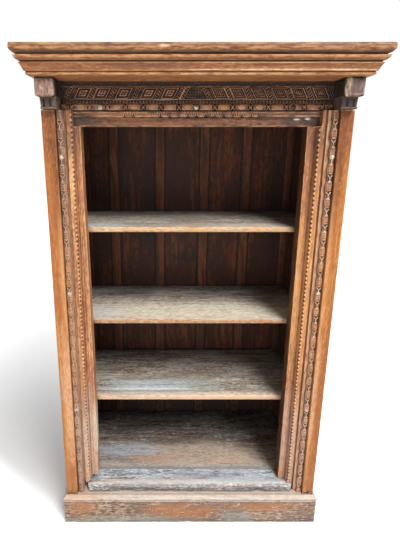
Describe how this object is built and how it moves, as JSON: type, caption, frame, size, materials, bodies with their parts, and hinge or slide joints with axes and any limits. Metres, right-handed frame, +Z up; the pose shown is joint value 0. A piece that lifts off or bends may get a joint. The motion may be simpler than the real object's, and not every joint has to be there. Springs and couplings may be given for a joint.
{
  "type": "open bookcase",
  "caption": "Tall open wooden bookcase with a carved door-frame front, stepped cornice, plinth and fixed shelves",
  "frame": {"origin": "middle of the overall footprint at floor level", "axes": "+Z up, +X to the right seen from the front, +Y from the front to the back"},
  "size_m": [1.116, 0.611, 1.805],
  "materials": {
    "bracket_wood": "worn pinkish-grey old wood",
    "carved_jamb_teak": "carved old teak, worn grey-brown with golden ridges",
    "cornice_teak": "waxed brown teak with golden arrises",
    "dark_back_wood": "dark brown old teak",
    "dark_frieze_teak": "carved dark old teak, worn pale on its ridges",
    "golden_post_teak": "oiled golden teak",
    "iron": "rough blackened iron, worn pale on the domes",
    "plinth_teak": "scuffed brown-grey teak with orange patches",
    "side_teak": "oiled brown teak",
    "weathered_deck_wood": "dry grey teak with bluish bloom and worn arrises",
    "weathered_shelf_wood": "dry grey-brown teak with golden worn front edge"
  },
  "bodies": {
    "root": {"back_board_1": "dark_back_wood", "back_board_2": "dark_back_wood", "back_board_3": "dark_back_wood", "back_board_4": "dark_back_wood", "back_board_5": "dark_back_wood", "back_post_left": "side_teak", "back_post_right": "side_teak", "back_top_rail": "dark_back_wood", "bracket_left": "bracket_wood", "bracket_right": "bracket_wood", "corner_strip_left": "dark_back_wood", "corner_strip_right": "dark_back_wood", "cornice_front": "cornice_teak", "cornice_side_left": "cornice_teak", "cornice_side_right": "cornice_teak", "cover_strips": "dark_back_wood", "deck_bearers": "dark_back_wood", "deck_board_front": "weathered_deck_wood", "deck_board_rear": "weathered_deck_wood", "domed_nails": "iron", "frieze_board": "dark_frieze_teak", "front_post_left": "golden_post_teak", "front_post_right": "golden_post_teak", "jamb_left": "carved_jamb_teak", "jamb_right": "carved_jamb_teak", "lintel_rail": "dark_frieze_teak", "plinth_board_back": "dark_back_wood", "plinth_board_front": "plinth_teak", "plinth_board_left": "plinth_teak", "plinth_board_right": "plinth_teak", "plinth_cap_back": "dark_back_wood", "plinth_cap_front": "plinth_teak", "plinth_cap_left": "plinth_teak", "plinth_cap_right": "plinth_teak", "plinth_corner_blocks": "dark_back_wood", "roll_moulding_left": "carved_jamb_teak", "roll_moulding_right": "carved_jamb_teak", "shelf_cleats": "dark_back_wood", "shelf_lower_front_board": "weathered_shelf_wood", "shelf_lower_rear_board": "weathered_shelf_wood", "shelf_middle_front_board": "weathered_shelf_wood", "shelf_middle_rear_board": "weathered_shelf_wood", "shelf_upper_front_board": "weathered_shelf_wood", "shelf_upper_rear_board": "weathered_shelf_wood", "side_board_front_left": "side_teak", "side_board_front_right": "side_teak", "side_board_rear_left": "side_teak", "side_board_rear_right": "side_teak", "side_rail_bottom_left": "side_teak", "side_rail_bottom_right": "side_teak", "side_rail_middle_left": "side_teak", "side_rail_middle_right": "side_teak", "side_rail_top_left": "side_teak", "side_rail_top_right": "side_teak", "soffit_board": "cornice_teak", "threshold_board": "weathered_deck_wood", "top_bearers": "dark_back_wood", "top_board_front": "cornice_teak", "top_board_middle": "cornice_teak", "top_board_rear": "cornice_teak"}
  },
  "joints": []
}
